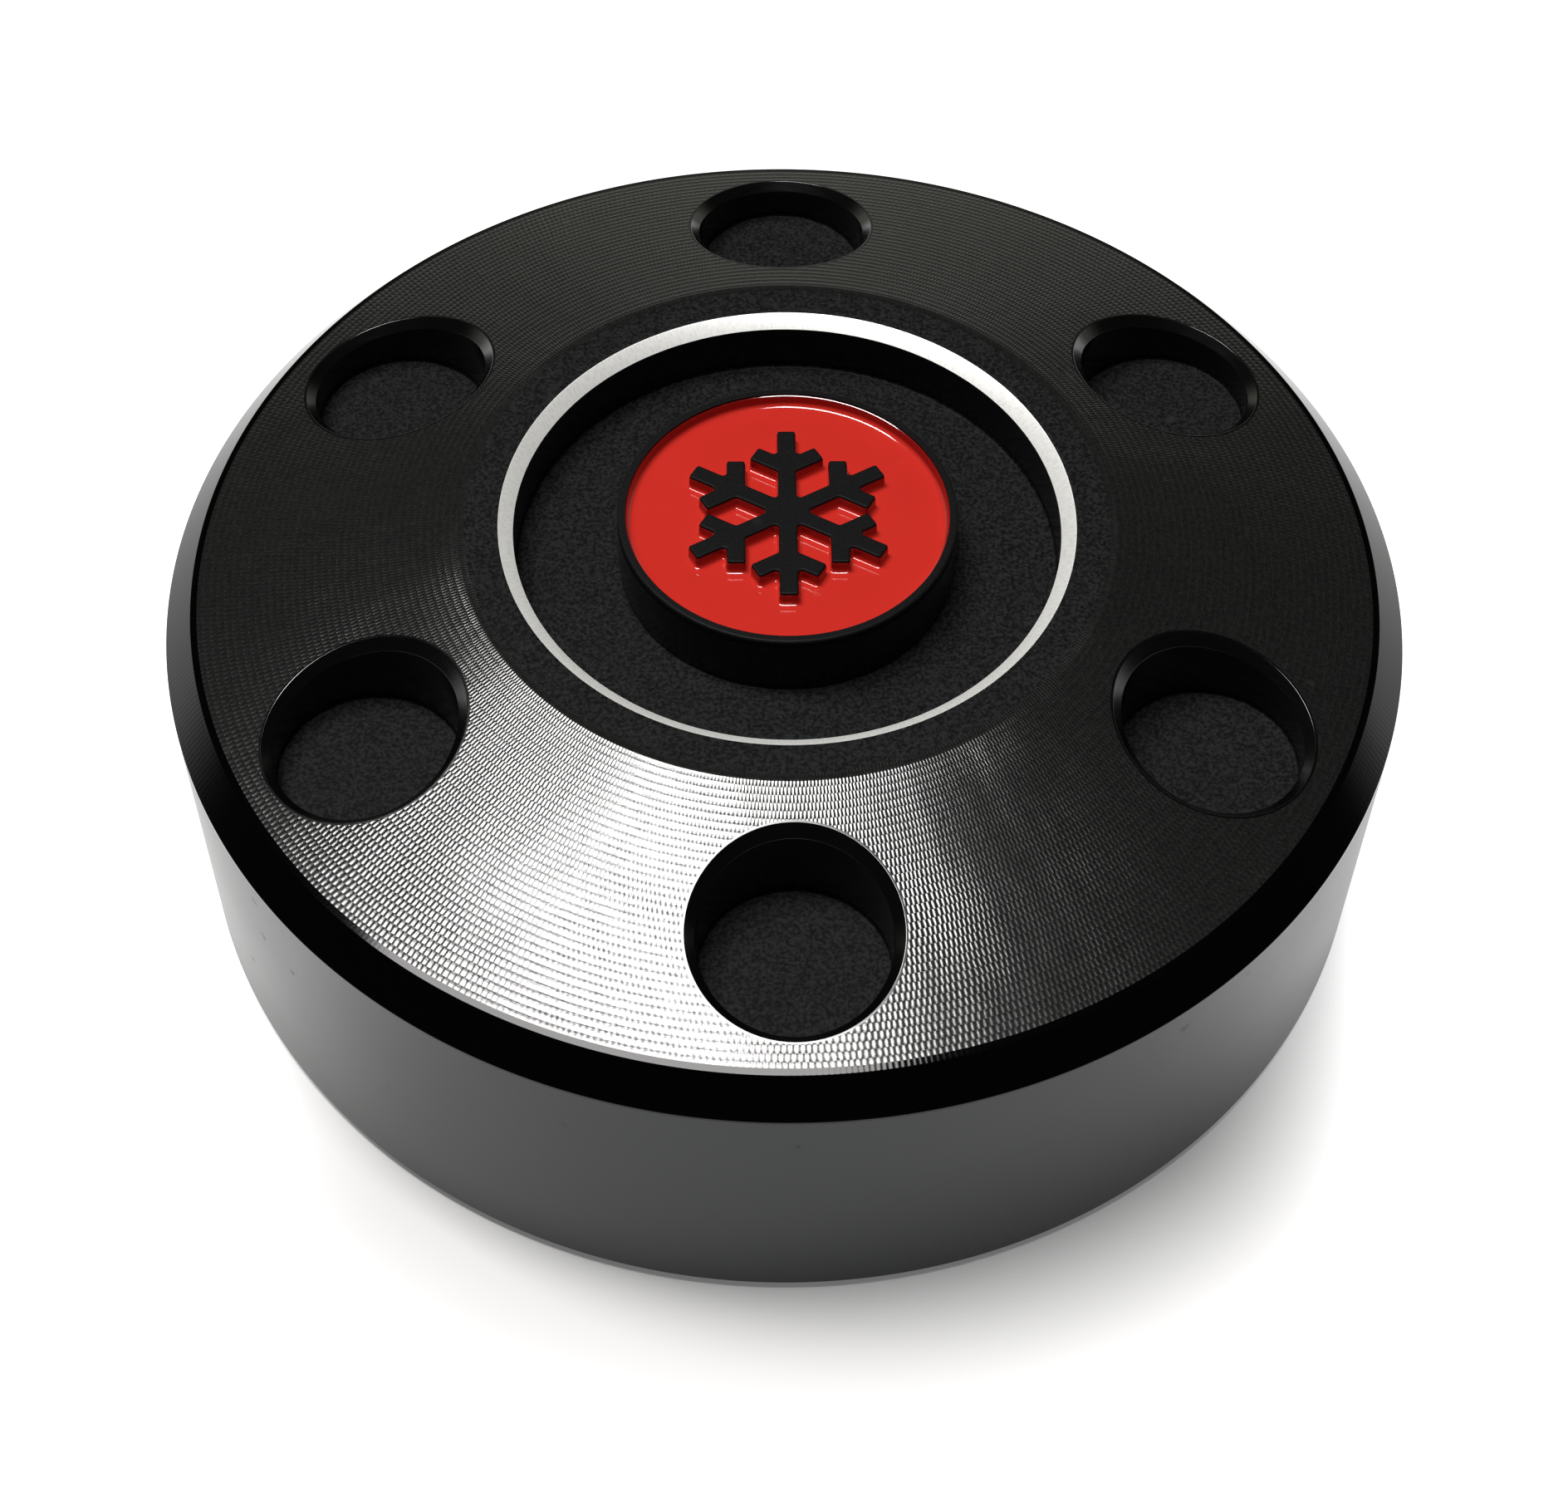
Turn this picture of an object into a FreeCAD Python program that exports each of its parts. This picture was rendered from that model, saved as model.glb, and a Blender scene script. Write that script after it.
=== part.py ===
import FreeCAD, Part
import math
import os

# Presentation hockey puck turned from black anodised aluminium, in millimetres.
# +Z is up, the glides stand on z = 0 and the turning axis is the Z axis.
# Pocket 1 lies towards -Y, and the others follow it counter-clockwise seen from above.

V = FreeCAD.Vector
CENTRE = V(0, 0, 0)
UP = V(0, 0, 1)

# The body has the size of a regulation puck. The glides and the boss stand a little proud of it.
PUCK_DIAMETER = 76.2
BODY_HEIGHT = 25.4
FOOT_GAP = 0.4
BOSS_PROUD = 0.4
BAND_Z = FOOT_GAP + BODY_HEIGHT
TOP_Z = BAND_Z + BOSS_PROUD
REPEAT = 6
FRONT_DEG = -90.0
STEP_DEG = 360.0 / REPEAT

# Shell, outside, from the side wall to the middle.
SHELL_R = PUCK_DIAMETER / 2
EDGE_CHAMFER_WIDTH = 1.75
EDGE_CHAMFER_DROP = 1.95
CROWN_R = SHELL_R - EDGE_CHAMFER_WIDTH
CROWN_SLOPE_DEG = 15.0
BAND_R = 20.0
CROWN_EDGE_Z = BAND_Z - (CROWN_R - BAND_R) * math.tan(math.radians(CROWN_SLOPE_DEG))
WALL_TOP_Z = CROWN_EDGE_Z - EDGE_CHAMFER_DROP
BRIGHT_CUT_R = 17.45
BRIGHT_CUT_WIDTH = 0.85
BRIGHT_CUT_DROP = 0.65
RECESS_R = BRIGHT_CUT_R - BRIGHT_CUT_WIDTH
RECESS_FLOOR_Z = BAND_Z - 4.0
BOTTOM_EDGE_BREAK = 0.3

# Pockets in the crown.
POCKET_PITCH_R = 28.45
POCKET_R = 5.5
POCKET_CHAMFER = 0.6
POCKET_FLOOR_Z = 19.2

# Shell, inside: web under the crown, cavity, ledge for the screws, rebate for the base plate.
WEB_Z = 17.0
CAVITY_R = 28.0
PLATE_THICKNESS = 3.0
LEDGE_Z = FOOT_GAP + PLATE_THICKNESS
REBATE_R = 36.0
PLATE_CLEARANCE = 0.1
PLATE_EDGE_BREAK = 0.3

# Base screws, M3 countersunk, with a hexagon socket.
SCREW_PITCH_R = 32.2
SCREW_R = 1.5
SCREW_CLEAR_R = 1.7
SCREW_HEAD_R = 2.8
SCREW_SUNK = 0.1
SCREW_LENGTH = 10.0
TAPPED_DEPTH = 9.0
SCREW_SOCKET_FLATS = 2.0
SCREW_SOCKET_DEPTH = 1.3

# Glides pressed into the underside of the base plate.
GLIDE_PITCH_R = 21.0
GLIDE_R = 4.0
GLIDE_SOCKET_DEPTH = 1.4
GLIDE_EDGE_BREAK = 0.35

# Base seal, an O-ring squashed flat against the ledge.
SEAL_R = 29.5
SEAL_GROOVE_WIDTH = 1.5
SEAL_GROOVE_DEPTH = 1.0
SEAL_WIDTH = 1.3
SEAL_CORNER = 0.35

# Damping core between the web and the base plate.
CORE_BORE_R = 9.0
CORE_CLEARANCE = 0.3

# Emblem: boss with a spigot, an enamelled pool and a raised snowflake.
BOSS_R = 10.3
BOSS_EDGE_BREAK = 0.2
SPIGOT_R = 4.0
SPIGOT_BOTTOM_Z = WEB_Z + 0.4
POOL_RIM = 0.5
POOL_R = BOSS_R - POOL_RIM
POOL_DEPTH = 1.25
ENAMEL_SUNK = 0.9
ENAMEL_COAT = 0.12
COAT_BELOW_RIM = 0.15
MARK_ARM_LENGTH = 6.6
MARK_ARM_WIDTH = 1.1
MARK_BRANCH_AT = 3.6
MARK_BRANCH_LENGTH = 2.3
MARK_BRANCH_DEG = 60.0

# Emblem fixing: an M4 screw with a washer from below, and a dowel that stops the boss turning.
EMBLEM_SCREW_R = 2.0
EMBLEM_SCREW_TIP_Z = 22.4
EMBLEM_TAP_TOP_Z = 23.2
EMBLEM_HEAD_R = 3.8
EMBLEM_HEAD_HEIGHT = 2.2
EMBLEM_SOCKET_FLATS = 2.5
EMBLEM_SOCKET_DEPTH = 1.3
WASHER_R = 6.0
WASHER_HOLE_R = 2.15
WASHER_THICKNESS = 1.0
DOWEL_R = 1.0
DOWEL_PITCH_R = 7.0
DOWEL_BOTTOM_Z = 19.7
DOWEL_TOP_Z = 23.7


def turned(outline):
    """Solid of revolution about Z from a closed outline of (radius, height) points."""
    points = [V(r, 0, z) for r, z in outline]
    face = Part.Face(Part.makePolygon(points + points[:1]))
    return face.revolve(CENTRE, UP, 360)


def rod(radius, bottom, top, x=0.0, y=0.0):
    """Upright cylinder between two heights."""
    return Part.makeCylinder(radius, top - bottom, V(x, y, bottom), UP)


def cone(bottom_r, top_r, bottom, top, x=0.0, y=0.0):
    """Upright cone frustum between two heights."""
    return Part.makeCone(bottom_r, top_r, top - bottom, V(x, y, bottom), UP)


def hexagon(flats, bottom, top, x=0.0, y=0.0):
    """Upright hexagonal prism, given its width across flats."""
    corner_r = flats / math.sqrt(3)
    angles = [math.radians(60 * k) for k in range(7)]
    corners = [V(x + corner_r * math.cos(a), y + corner_r * math.sin(a), bottom) for a in angles]
    return Part.Face(Part.makePolygon(corners)).extrude(V(0, 0, top - bottom))


def around(pitch_r, offset_deg=0.0):
    """The REPEAT places on a pitch circle, from the front, as (number, x, y)."""
    places = []
    for k in range(REPEAT):
        angle = math.radians(FRONT_DEG + offset_deg + k * STEP_DEG)
        places.append((k + 1, pitch_r * math.cos(angle), pitch_r * math.sin(angle)))
    return places


def is_pocket_mouth(edge):
    """True for the edge where a pocket's wall breaks out through the sloping crown."""
    box = edge.BoundBox
    wide = 1.9 * POCKET_R < box.XLength < 2.1 * POCKET_R
    away = math.hypot(box.Center.x, box.Center.y) > BAND_R
    return wide and away and box.ZLength > 1.0


def shell_blank():
    """The turned shell, before any hole is made off its axis."""
    return turned([
        (SHELL_R - BOTTOM_EDGE_BREAK, FOOT_GAP),
        (SHELL_R, FOOT_GAP + BOTTOM_EDGE_BREAK),
        (SHELL_R, WALL_TOP_Z),
        (CROWN_R, CROWN_EDGE_Z),
        (BAND_R, BAND_Z),
        (BRIGHT_CUT_R, BAND_Z),
        (RECESS_R, BAND_Z - BRIGHT_CUT_DROP),
        (RECESS_R, RECESS_FLOOR_Z),
        (SPIGOT_R, RECESS_FLOOR_Z),
        (SPIGOT_R, WEB_Z),
        (CAVITY_R, WEB_Z),
        (CAVITY_R, LEDGE_Z),
        (REBATE_R, LEDGE_Z),
        (REBATE_R, FOOT_GAP),
    ])


def puck_shell():
    """Crown and skirt in one, with its pockets, tapped holes and dowel hole."""
    shell = shell_blank()
    for number, x, y in around(POCKET_PITCH_R):
        shell = shell.cut(rod(POCKET_R, POCKET_FLOOR_Z, TOP_Z, x, y))
    mouths = [edge for edge in shell.Edges if is_pocket_mouth(edge)]
    print("pocket mouths found:", len(mouths))
    shell = shell.makeChamfer(POCKET_CHAMFER, mouths)
    for number, x, y in around(SCREW_PITCH_R, STEP_DEG / 2):
        shell = shell.cut(rod(SCREW_R, LEDGE_Z, LEDGE_Z + TAPPED_DEPTH, x, y))
    return shell.cut(rod(DOWEL_R, DOWEL_BOTTOM_Z, TOP_Z, 0, DOWEL_PITCH_R))


def snowflake(bottom, top, grow=0.0):
    """Six straight arms from the middle, each with one pair of side branches."""
    width = MARK_ARM_WIDTH + 2 * grow
    height = top - bottom
    arm = Part.makeBox(MARK_ARM_LENGTH + grow, width, height, V(0, -width / 2, bottom))
    branch_length = MARK_BRANCH_LENGTH + grow
    pieces = [arm]
    for side in (-1, 1):
        branch = Part.makeBox(branch_length, width, height, V(0, -width / 2, bottom))
        branch.rotate(CENTRE, UP, side * MARK_BRANCH_DEG)
        branch.translate(V(MARK_BRANCH_AT, 0, 0))
        pieces.append(branch)
    arm = pieces[0].fuse(pieces[1:])
    flake = None
    for k in range(REPEAT):
        turn = arm.copy()
        turn.rotate(CENTRE, UP, FRONT_DEG + k * STEP_DEG)
        flake = turn if flake is None else flake.fuse(turn)
    return flake.removeSplitter()


def emblem_boss():
    """Boss and spigot, with the pool sunk into its top round the raised snowflake."""
    boss = turned([
        (0, SPIGOT_BOTTOM_Z),
        (SPIGOT_R, SPIGOT_BOTTOM_Z),
        (SPIGOT_R, RECESS_FLOOR_Z),
        (BOSS_R, RECESS_FLOOR_Z),
        (BOSS_R, TOP_Z - BOSS_EDGE_BREAK),
        (BOSS_R - BOSS_EDGE_BREAK, TOP_Z),
        (0, TOP_Z),
    ])
    pool_floor = TOP_Z - POOL_DEPTH
    pool = rod(POOL_R, pool_floor, TOP_Z).cut(snowflake(pool_floor, TOP_Z))
    boss = boss.cut(pool)
    boss = boss.cut(rod(EMBLEM_SCREW_R, SPIGOT_BOTTOM_Z, EMBLEM_TAP_TOP_Z))
    return boss.cut(rod(DOWEL_R, SPIGOT_BOTTOM_Z, DOWEL_TOP_Z, 0, DOWEL_PITCH_R))


def emblem_enamel():
    """Enamel lying in the pool, with a thin coat drawn up every wall."""
    floor = TOP_Z - POOL_DEPTH
    surface = TOP_Z - ENAMEL_SUNK
    coat_top = TOP_Z - COAT_BELOW_RIM
    filled = rod(POOL_R, floor, coat_top).cut(snowflake(floor, coat_top))
    hollow = rod(POOL_R - ENAMEL_COAT, surface, coat_top)
    return filled.cut(hollow.cut(snowflake(surface, coat_top, ENAMEL_COAT)))


def emblem_dowel():
    """Pin across the joint between boss and shell."""
    return rod(DOWEL_R, DOWEL_BOTTOM_Z, DOWEL_TOP_Z, 0, DOWEL_PITCH_R)


def emblem_washer():
    """Plain washer under the web."""
    bottom = WEB_Z - WASHER_THICKNESS
    return rod(WASHER_R, bottom, WEB_Z).cut(rod(WASHER_HOLE_R, bottom, WEB_Z))


def emblem_screw():
    """Cap screw that draws the boss down on to the recess floor."""
    seat = WEB_Z - WASHER_THICKNESS
    head_bottom = seat - EMBLEM_HEAD_HEIGHT
    screw = rod(EMBLEM_HEAD_R, head_bottom, seat).fuse(rod(EMBLEM_SCREW_R, seat, EMBLEM_SCREW_TIP_Z))
    return screw.cut(hexagon(EMBLEM_SOCKET_FLATS, head_bottom, head_bottom + EMBLEM_SOCKET_DEPTH))


def core_ring():
    """Rubber ring that fills the cavity, clear of its wall."""
    return rod(CAVITY_R - CORE_CLEARANCE, LEDGE_Z, WEB_Z).cut(rod(CORE_BORE_R, LEDGE_Z, WEB_Z))


def base_plate():
    """Turned plate in the rebate, with its seal groove, screw holes and glide sockets."""
    plate_r = REBATE_R - PLATE_CLEARANCE
    plate = turned([
        (0, FOOT_GAP),
        (plate_r - PLATE_EDGE_BREAK, FOOT_GAP),
        (plate_r, FOOT_GAP + PLATE_EDGE_BREAK),
        (plate_r, LEDGE_Z),
        (0, LEDGE_Z),
    ])
    groove_z = LEDGE_Z - SEAL_GROOVE_DEPTH
    groove = rod(SEAL_R + SEAL_GROOVE_WIDTH / 2, groove_z, LEDGE_Z)
    groove = groove.cut(rod(SEAL_R - SEAL_GROOVE_WIDTH / 2, groove_z, LEDGE_Z))
    plate = plate.cut(groove)
    head_z = FOOT_GAP + SCREW_SUNK
    sink_top = head_z + SCREW_HEAD_R - SCREW_R
    for number, x, y in around(SCREW_PITCH_R, STEP_DEG / 2):
        plate = plate.cut(rod(SCREW_CLEAR_R, FOOT_GAP, LEDGE_Z, x, y))
        plate = plate.cut(rod(SCREW_HEAD_R, FOOT_GAP, head_z, x, y))
        plate = plate.cut(cone(SCREW_HEAD_R, SCREW_R, head_z, sink_top, x, y))
    for number, x, y in around(GLIDE_PITCH_R):
        plate = plate.cut(rod(GLIDE_R, FOOT_GAP, FOOT_GAP + GLIDE_SOCKET_DEPTH, x, y))
    return plate


def base_seal():
    """Squashed O-ring: a flat-sided ring with chamfered corners."""
    inner = SEAL_R - SEAL_WIDTH / 2
    outer = SEAL_R + SEAL_WIDTH / 2
    low = LEDGE_Z - SEAL_GROOVE_DEPTH
    c = SEAL_CORNER
    return turned([
        (inner + c, low), (outer - c, low), (outer, low + c), (outer, LEDGE_Z - c),
        (outer - c, LEDGE_Z), (inner + c, LEDGE_Z), (inner, LEDGE_Z - c), (inner, low + c),
    ])


def base_screw(x, y):
    """Countersunk screw with a hexagon socket in its head."""
    head_z = FOOT_GAP + SCREW_SUNK
    neck_z = head_z + SCREW_HEAD_R - SCREW_R
    screw = cone(SCREW_HEAD_R, SCREW_R, head_z, neck_z, x, y)
    screw = screw.fuse(rod(SCREW_R, neck_z, head_z + SCREW_LENGTH, x, y))
    return screw.cut(hexagon(SCREW_SOCKET_FLATS, head_z, head_z + SCREW_SOCKET_DEPTH, x, y))


def glide(x, y):
    """Low-friction button with a broken lower edge."""
    b = GLIDE_EDGE_BREAK
    button = turned([(0, 0), (GLIDE_R - b, 0), (GLIDE_R, b), (GLIDE_R, FOOT_GAP + GLIDE_SOCKET_DEPTH),
                     (0, FOOT_GAP + GLIDE_SOCKET_DEPTH)])
    button.translate(V(x, y, 0))
    return button


def save(node, shape):
    """One STEP file per node, after a check that it is one sound solid."""
    solid = shape.Solids[0]
    print(node, "solids", len(shape.Solids), "valid", solid.isValid(), "mm3", round(solid.Volume, 1))
    solid.exportStep("parts/" + node + ".step")


os.makedirs("parts", exist_ok=True)
save("puck_shell", puck_shell())
save("emblem_boss", emblem_boss())
save("emblem_enamel", emblem_enamel())
save("emblem_dowel", emblem_dowel())
save("emblem_washer", emblem_washer())
save("emblem_screw", emblem_screw())
save("core_ring", core_ring())
save("base_plate", base_plate())
save("base_seal", base_seal())
for number, x, y in around(SCREW_PITCH_R, STEP_DEG / 2):
    save("base_screw_" + str(number), base_screw(x, y))
for number, x, y in around(GLIDE_PITCH_R):
    save("glide_" + str(number), glide(x, y))
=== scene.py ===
import math

import bmesh
import bpy
import numpy as np
from mathutils import Matrix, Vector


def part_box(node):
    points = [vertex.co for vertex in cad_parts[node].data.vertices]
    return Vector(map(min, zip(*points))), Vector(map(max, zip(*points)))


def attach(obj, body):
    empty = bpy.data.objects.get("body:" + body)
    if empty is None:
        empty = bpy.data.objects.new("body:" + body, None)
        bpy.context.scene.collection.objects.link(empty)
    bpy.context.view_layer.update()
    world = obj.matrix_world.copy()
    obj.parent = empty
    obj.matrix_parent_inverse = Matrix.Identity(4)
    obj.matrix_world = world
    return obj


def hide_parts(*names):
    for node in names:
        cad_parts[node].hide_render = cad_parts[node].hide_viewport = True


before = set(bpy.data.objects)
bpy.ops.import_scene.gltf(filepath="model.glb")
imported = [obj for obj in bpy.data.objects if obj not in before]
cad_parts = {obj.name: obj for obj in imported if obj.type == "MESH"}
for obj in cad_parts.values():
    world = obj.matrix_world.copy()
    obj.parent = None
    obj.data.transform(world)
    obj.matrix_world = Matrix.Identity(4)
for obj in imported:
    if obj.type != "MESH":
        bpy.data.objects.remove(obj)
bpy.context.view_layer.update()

# Looks of a presentation hockey puck turned from black anodised aluminium.
# Shapes are worked out in millimetres round the turning axis, z = 0 at the feet, and scaled once to metres.

MM = 0.001
BODY = "root"


def frame_box(node):
    """Lowest and highest corner of a CAD node, in millimetres."""
    low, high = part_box(node)
    return np.array(low) / MM, np.array(high) / MM


SHELL_LOW, SHELL_HIGH = frame_box("puck_shell")
BOSS_LOW, BOSS_HIGH = frame_box("emblem_boss")
ENAMEL_LOW, ENAMEL_HIGH = frame_box("emblem_enamel")
PLATE_HIGH = frame_box("base_plate")[1]

# Shell, outside. All sizes are millimetres.
SHELL_R = SHELL_HIGH[0]
FOOT_Z = SHELL_LOW[2]
BAND_Z = SHELL_HIGH[2]
REPEAT = 6
BOTTOM_EDGE_BREAK = 0.3
BOTTOM_EDGE_ROUND = 0.12
CHAMFER_ROUND = 0.10
BAND_EDGE_ROUND = 0.12
FOOT_ROUND = 0.15
EDGE_CHAMFER_WIDTH = 1.75
EDGE_CHAMFER_DROP = 1.95
CROWN_R = SHELL_R - EDGE_CHAMFER_WIDTH
CROWN_SLOPE = math.tan(math.radians(15.0))
BAND_R = 20.0
CROWN_EDGE_Z = BAND_Z - (CROWN_R - BAND_R) * CROWN_SLOPE
BRIGHT_CUT_R = 17.45
BRIGHT_CUT_WIDTH = 0.85
BRIGHT_CUT_DROP = 0.65
RECESS_R = BRIGHT_CUT_R - BRIGHT_CUT_WIDTH
RECESS_FLOOR_Z = BAND_Z - 4.0

# Shell, inside.
WEB_Z = 17.0
CAVITY_R = 28.0
LEDGE_Z = PLATE_HIGH[2]
PLATE_CLEARANCE = 0.1
REBATE_R = PLATE_HIGH[0] + PLATE_CLEARANCE

# Pockets in the crown.
POCKET_PITCH_R = 28.45
POCKET_R = 5.5
POCKET_CHAMFER = 0.6
POCKET_FLOOR_Z = 19.2
POCKET_EDGE_ROUND = 0.07
POCKET_FOOT_ROUND = 0.12

# Screw holes of the base plate.
SCREW_PITCH_R = 32.2
SCREW_R = 1.5
SCREW_OFFSET_DEG = 180 / REPEAT
TAPPED_DEPTH = 9.0

# Emblem boss, its pool of enamel and the raised snowflake.
BOSS_R = BOSS_HIGH[0]
TOP_Z = BOSS_HIGH[2]
SPIGOT_R = 4.0
SPIGOT_BOTTOM_Z = BOSS_LOW[2]
EMBLEM_TAP_R = 2.0
EMBLEM_TAP_TOP_Z = 23.2
DOWEL_R = 1.0
DOWEL_PITCH_R = 7.0
DOWEL_PLACE = REPEAT // 2
DOWEL_BOTTOM_Z = 19.7
DOWEL_TOP_Z = 23.7
POOL_R = ENAMEL_HIGH[0]
POOL_FLOOR_Z = ENAMEL_LOW[2]
COAT_TOP_Z = ENAMEL_HIGH[2]
ENAMEL_SUNK = 0.9
ENAMEL_Z = TOP_Z - ENAMEL_SUNK
BOSS_EDGE_ROUND = 0.16
MARK_EDGE_ROUND = 0.1
MARK_ARM_LENGTH = 6.6
MARK_HALF_WIDTH = 0.55
MARK_BRANCH_AT = 3.6
MARK_BRANCH_LENGTH = 2.3
MARK_OUTER_CORNER = 0.16
MARK_INNER_CORNER = 0.24

# Enamel drawn up the walls of its pool. COAT is its thickness there, and the snowflake's is SLIM times that.
# A lip is shares of that thickness, and the drop there. THIN is where it darkens, above its level.
COAT = 0.12
SLIM = 0.4
LIP = ((0.0, 0.0), (0.4, 0.02), (0.8, 0.12))
RIM_CLIMB, RIM_FADE, RIM_REACH = 0.28, 0.15, 1.10
MARK_CLIMB, MARK_FADE, MARK_REACH = 0.12, 0.035, 0.172
THIN_FROM, THIN_TO = 0.08, 0.34

# Where one patch of a mesh ends and the next begins, measured from the nearest edge. TINY keeps points apart.
BAND_LAP = 0.5
CROWN_LAP = 0.4
WALL_LAP = 1.0
EDGE_LAP = 0.2
BOSS_LAP = 0.6
BOTTOM_LAP = 0.6
CUT_LAP = 0.1
MOUTH_LAP = 0.12
HOLE_LAP = 0.3
FOOT_LAP = 0.5
TINY = 0.02

# Fineness of the meshes. LEAD is the straight lead beside an arc, and WELD is in metres.
SECTOR_STEPS = 60
RADIAL_STEPS = 12
TURN_STEPS = REPEAT * SECTOR_STEPS
ARC_STEPS = 3
MARK_ARC_STEPS = 4
BOSS_ARC_STEPS = 5
MENISCUS_STEPS = 10
HOLE_ROWS = (0, 0.015, 0.05, 0.12, 0.22, 0.36, 0.52, 0.68, 0.82, 0.93, 1)
LEAD = 0.05
WELD = 1e-6
SHARP_DEG = 38.0


# ---------------------------------------------------------------- outlines and surfaces


def unit(v):
    """Vectors along the last axis, scaled to length one."""
    return v / np.linalg.norm(v, axis=-1, keepdims=True)


def rounded(corners, radius, steps=ARC_STEPS):
    """An open line of corners, each one between its ends made into an arc with a short lead on both sides.

    An arc's centre lies on the corner's bisector, radius / sin(half the corner's angle) from the corner. Its
    points turn evenly from one tangent point to the other, by spherical interpolation about that centre.
    """
    ends = np.asarray(corners, float)
    p = ends[1:-1]
    radius = np.broadcast_to(np.asarray(radius, float), len(p))[:, None]
    before, after = ends[:-2] - p, ends[2:] - p
    room = np.minimum(np.linalg.norm(before, axis=1), np.linalg.norm(after, axis=1))[:, None]
    a, b = unit(before), unit(after)
    half = np.arccos(np.clip((a * b).sum(1, keepdims=True), -1, 1)) / 2
    tangent = np.minimum(radius / np.tan(half), 0.42 * room)
    centre = p + unit(a + b) * tangent / np.cos(half)
    start, end = p + a * tangent - centre, p + b * tangent - centre
    sweep = (np.pi - 2 * half)[:, :, None]
    k = np.linspace(0, 1, steps + 1)[None, :, None]
    arc = (np.sin((1 - k) * sweep) * start[:, None] + np.sin(k * sweep) * end[:, None]) / np.sin(sweep)
    lead = tangent + np.minimum(LEAD, 0.05 * room)
    rows = [(p + a * lead)[:, None], arc + centre[:, None], (p + b * lead)[:, None]]
    return np.concatenate([ends[:1], np.concatenate(rows, 1).reshape(-1, 2), ends[-1:]])


def turned_round(points, angle):
    """Points turned about the axis: (x cos - y sin, x sin + y cos), and any height kept."""
    c, s = math.cos(angle), math.sin(angle)
    x, y = points[..., 0], points[..., 1]
    return np.concatenate([np.stack([c * x - s * y, s * x + c * y], -1), points[..., 2:]], -1)


def place_angle(k, offset_deg=0.0):
    """Angle of place k of the REPEAT places round the axis, from the front."""
    return math.radians(-90 + offset_deg + k * 360 / REPEAT)


def at_height(plan, z):
    """Plan points lifted to one height."""
    return np.concatenate([plan, np.full(plan.shape[:-1] + (1,), z)], -1)


def sector_edge(r_in, r_out):
    """Plan points round a sector that points along +X: outer arc, side, inner arc and side, anticlockwise."""
    half = math.pi / REPEAT
    arc = np.linspace(-half, half, SECTOR_STEPS + 1)
    side = np.linspace(0, 1, RADIAL_STEPS + 1)
    turn = np.concatenate([arc[:-1], np.full(RADIAL_STEPS, half), arc[:0:-1], np.full(RADIAL_STEPS, -half)])
    outer, inner = np.full(SECTOR_STEPS, r_out), np.full(SECTOR_STEPS, r_in)
    r = np.concatenate([outer, r_out + (r_in - r_out) * side[:-1], inner, r_in + (r_out - r_in) * side[:-1]])
    return np.stack([r * np.cos(turn), r * np.sin(turn)], -1)


def level(z):
    """A flat surface at one height."""
    return lambda r: np.full(np.shape(r), z)


def crown_height(r):
    """The crown's cone: band height less (radius - band radius) tan(slope)."""
    return BAND_Z - (r - BAND_R) * CROWN_SLOPE


def grid_faces(rows, columns, closed):
    """Quads between the rows of a grid of points, joined round its columns where it is closed."""
    i = np.arange(rows - 1)[:, None] * columns
    j = np.arange(columns if closed else columns - 1)[None, :]
    k = (j + 1) % columns
    return np.stack([i + j, i + k, i + columns + k, i + columns + j], -1).reshape(-1, 4)


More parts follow.
